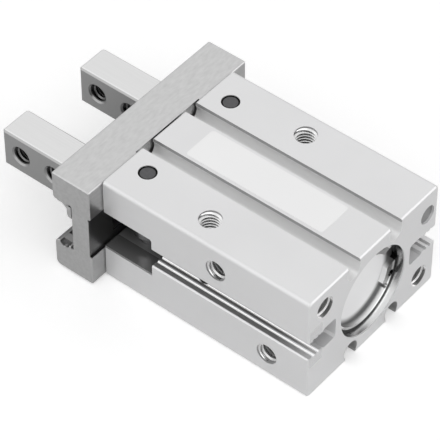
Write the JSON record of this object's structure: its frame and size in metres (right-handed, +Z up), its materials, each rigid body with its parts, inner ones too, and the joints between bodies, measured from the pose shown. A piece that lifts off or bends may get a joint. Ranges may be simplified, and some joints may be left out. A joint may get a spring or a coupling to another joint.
{
  "type": "pneumatic parallel gripper",
  "caption": "Double-acting air gripper with a grooved aluminium housing, a steel guide rail and parallel sliding fingers driven by levers from a piston.",
  "frame": {"origin": "mouth centre of the rear locating bore, on the rear face", "axes": "+X forward to the finger tips, +Y to the side with the air ports, +Z up, out of the labelled face"},
  "size_m": [0.0848, 0.05, 0.0277],
  "materials": {
    "housing_aluminium": "clear anodised, fine satin",
    "guide_steel": "heat treated, ground, slightly mottled",
    "finger_steel": "ground steel, bright satin",
    "lever_steel": "sintered steel",
    "shaft_steel": "hardened, dark",
    "turned_aluminium": "turned and anodised",
    "rod_steel": "polished stainless steel",
    "bearing_steel": "polished balls",
    "fastener_steel": "plain steel fasteners",
    "plug_steel": "plain steel",
    "spring_steel": "nickel plated spring steel",
    "nitrile_rubber": "moulded rubber",
    "magnet_rubber": "bonded magnet",
    "label_film": "metallised white film"
  },
  "bodies": {
    "housing": {"body_extrusion": "housing_aluminium", "guide_rail": "guide_steel", "lever_shaft_left": "shaft_steel", "lever_shaft_right": "shaft_steel", "rod_seal": "nitrile_rubber", "front_bumper": "nitrile_rubber", "end_cap": "turned_aluminium", "cap_gasket": "nitrile_rubber", "passage_plug": "plug_steel", "retaining_ring": "spring_steel", "guide_screws": "fastener_steel", "guide_dowels": "fastener_steel", "ball_stoppers": "plug_steel", "label_film": "label_film"},
    "finger_left": {"finger_left": "finger_steel"},
    "finger_right": {"finger_right": "finger_steel"},
    "lever_left": {"lever_left": "lever_steel"},
    "lever_right": {"lever_right": "lever_steel"},
    "piston": {"piston": "turned_aluminium", "piston_seal": "nitrile_rubber", "magnet_ring": "magnet_rubber", "piston_rod": "rod_steel", "piston_screw": "fastener_steel"},
    "balls_left": {"ball_row_left_upper": "bearing_steel", "ball_row_left_lower": "bearing_steel"},
    "balls_right": {"ball_row_right_upper": "bearing_steel", "ball_row_right_lower": "bearing_steel"}
  },
  "joints": [
    {"name": "finger_left_slide", "type": "slide", "parent": "housing", "child": "finger_left", "axis": [0, 1, 0], "range_m": [0, 0.005]},
    {"name": "finger_right_slide", "type": "slide", "parent": "housing", "child": "finger_right", "axis": [0, -1, 0], "range_m": [0, 0.005]},
    {"name": "lever_left_swing", "type": "hinge", "parent": "housing", "child": "lever_left", "pos_m": [0.0473, 0.0132, 0], "axis": [0, 0, 1], "range_deg": [0, 23.5]},
    {"name": "lever_right_swing", "type": "hinge", "parent": "housing", "child": "lever_right", "pos_m": [0.0473, -0.0132, 0], "axis": [0, 0, -1], "range_deg": [0, 23.5]},
    {"name": "piston_stroke", "type": "slide", "parent": "housing", "child": "piston", "axis": [1, 0, 0], "range_m": [0, 0.00383]},
    {"name": "balls_left_roll", "type": "slide", "parent": "housing", "child": "balls_left", "axis": [0, 1, 0], "range_m": [0, 0.0025]},
    {"name": "balls_right_roll", "type": "slide", "parent": "housing", "child": "balls_right", "axis": [0, -1, 0], "range_m": [0, 0.0025]}
  ],
  "couplings": [
    {"joint": "finger_right_slide", "follows": "finger_left_slide", "ratio": 1},
    {"joint": "lever_left_swing", "follows": "finger_left_slide", "rad_per_m": 81.871},
    {"joint": "lever_right_swing", "follows": "finger_left_slide", "rad_per_m": 81.871},
    {"joint": "piston_stroke", "follows": "finger_left_slide", "ratio": 0.76423},
    {"joint": "balls_left_roll", "follows": "finger_left_slide", "ratio": 0.5},
    {"joint": "balls_right_roll", "follows": "finger_left_slide", "ratio": 0.5}
  ]
}
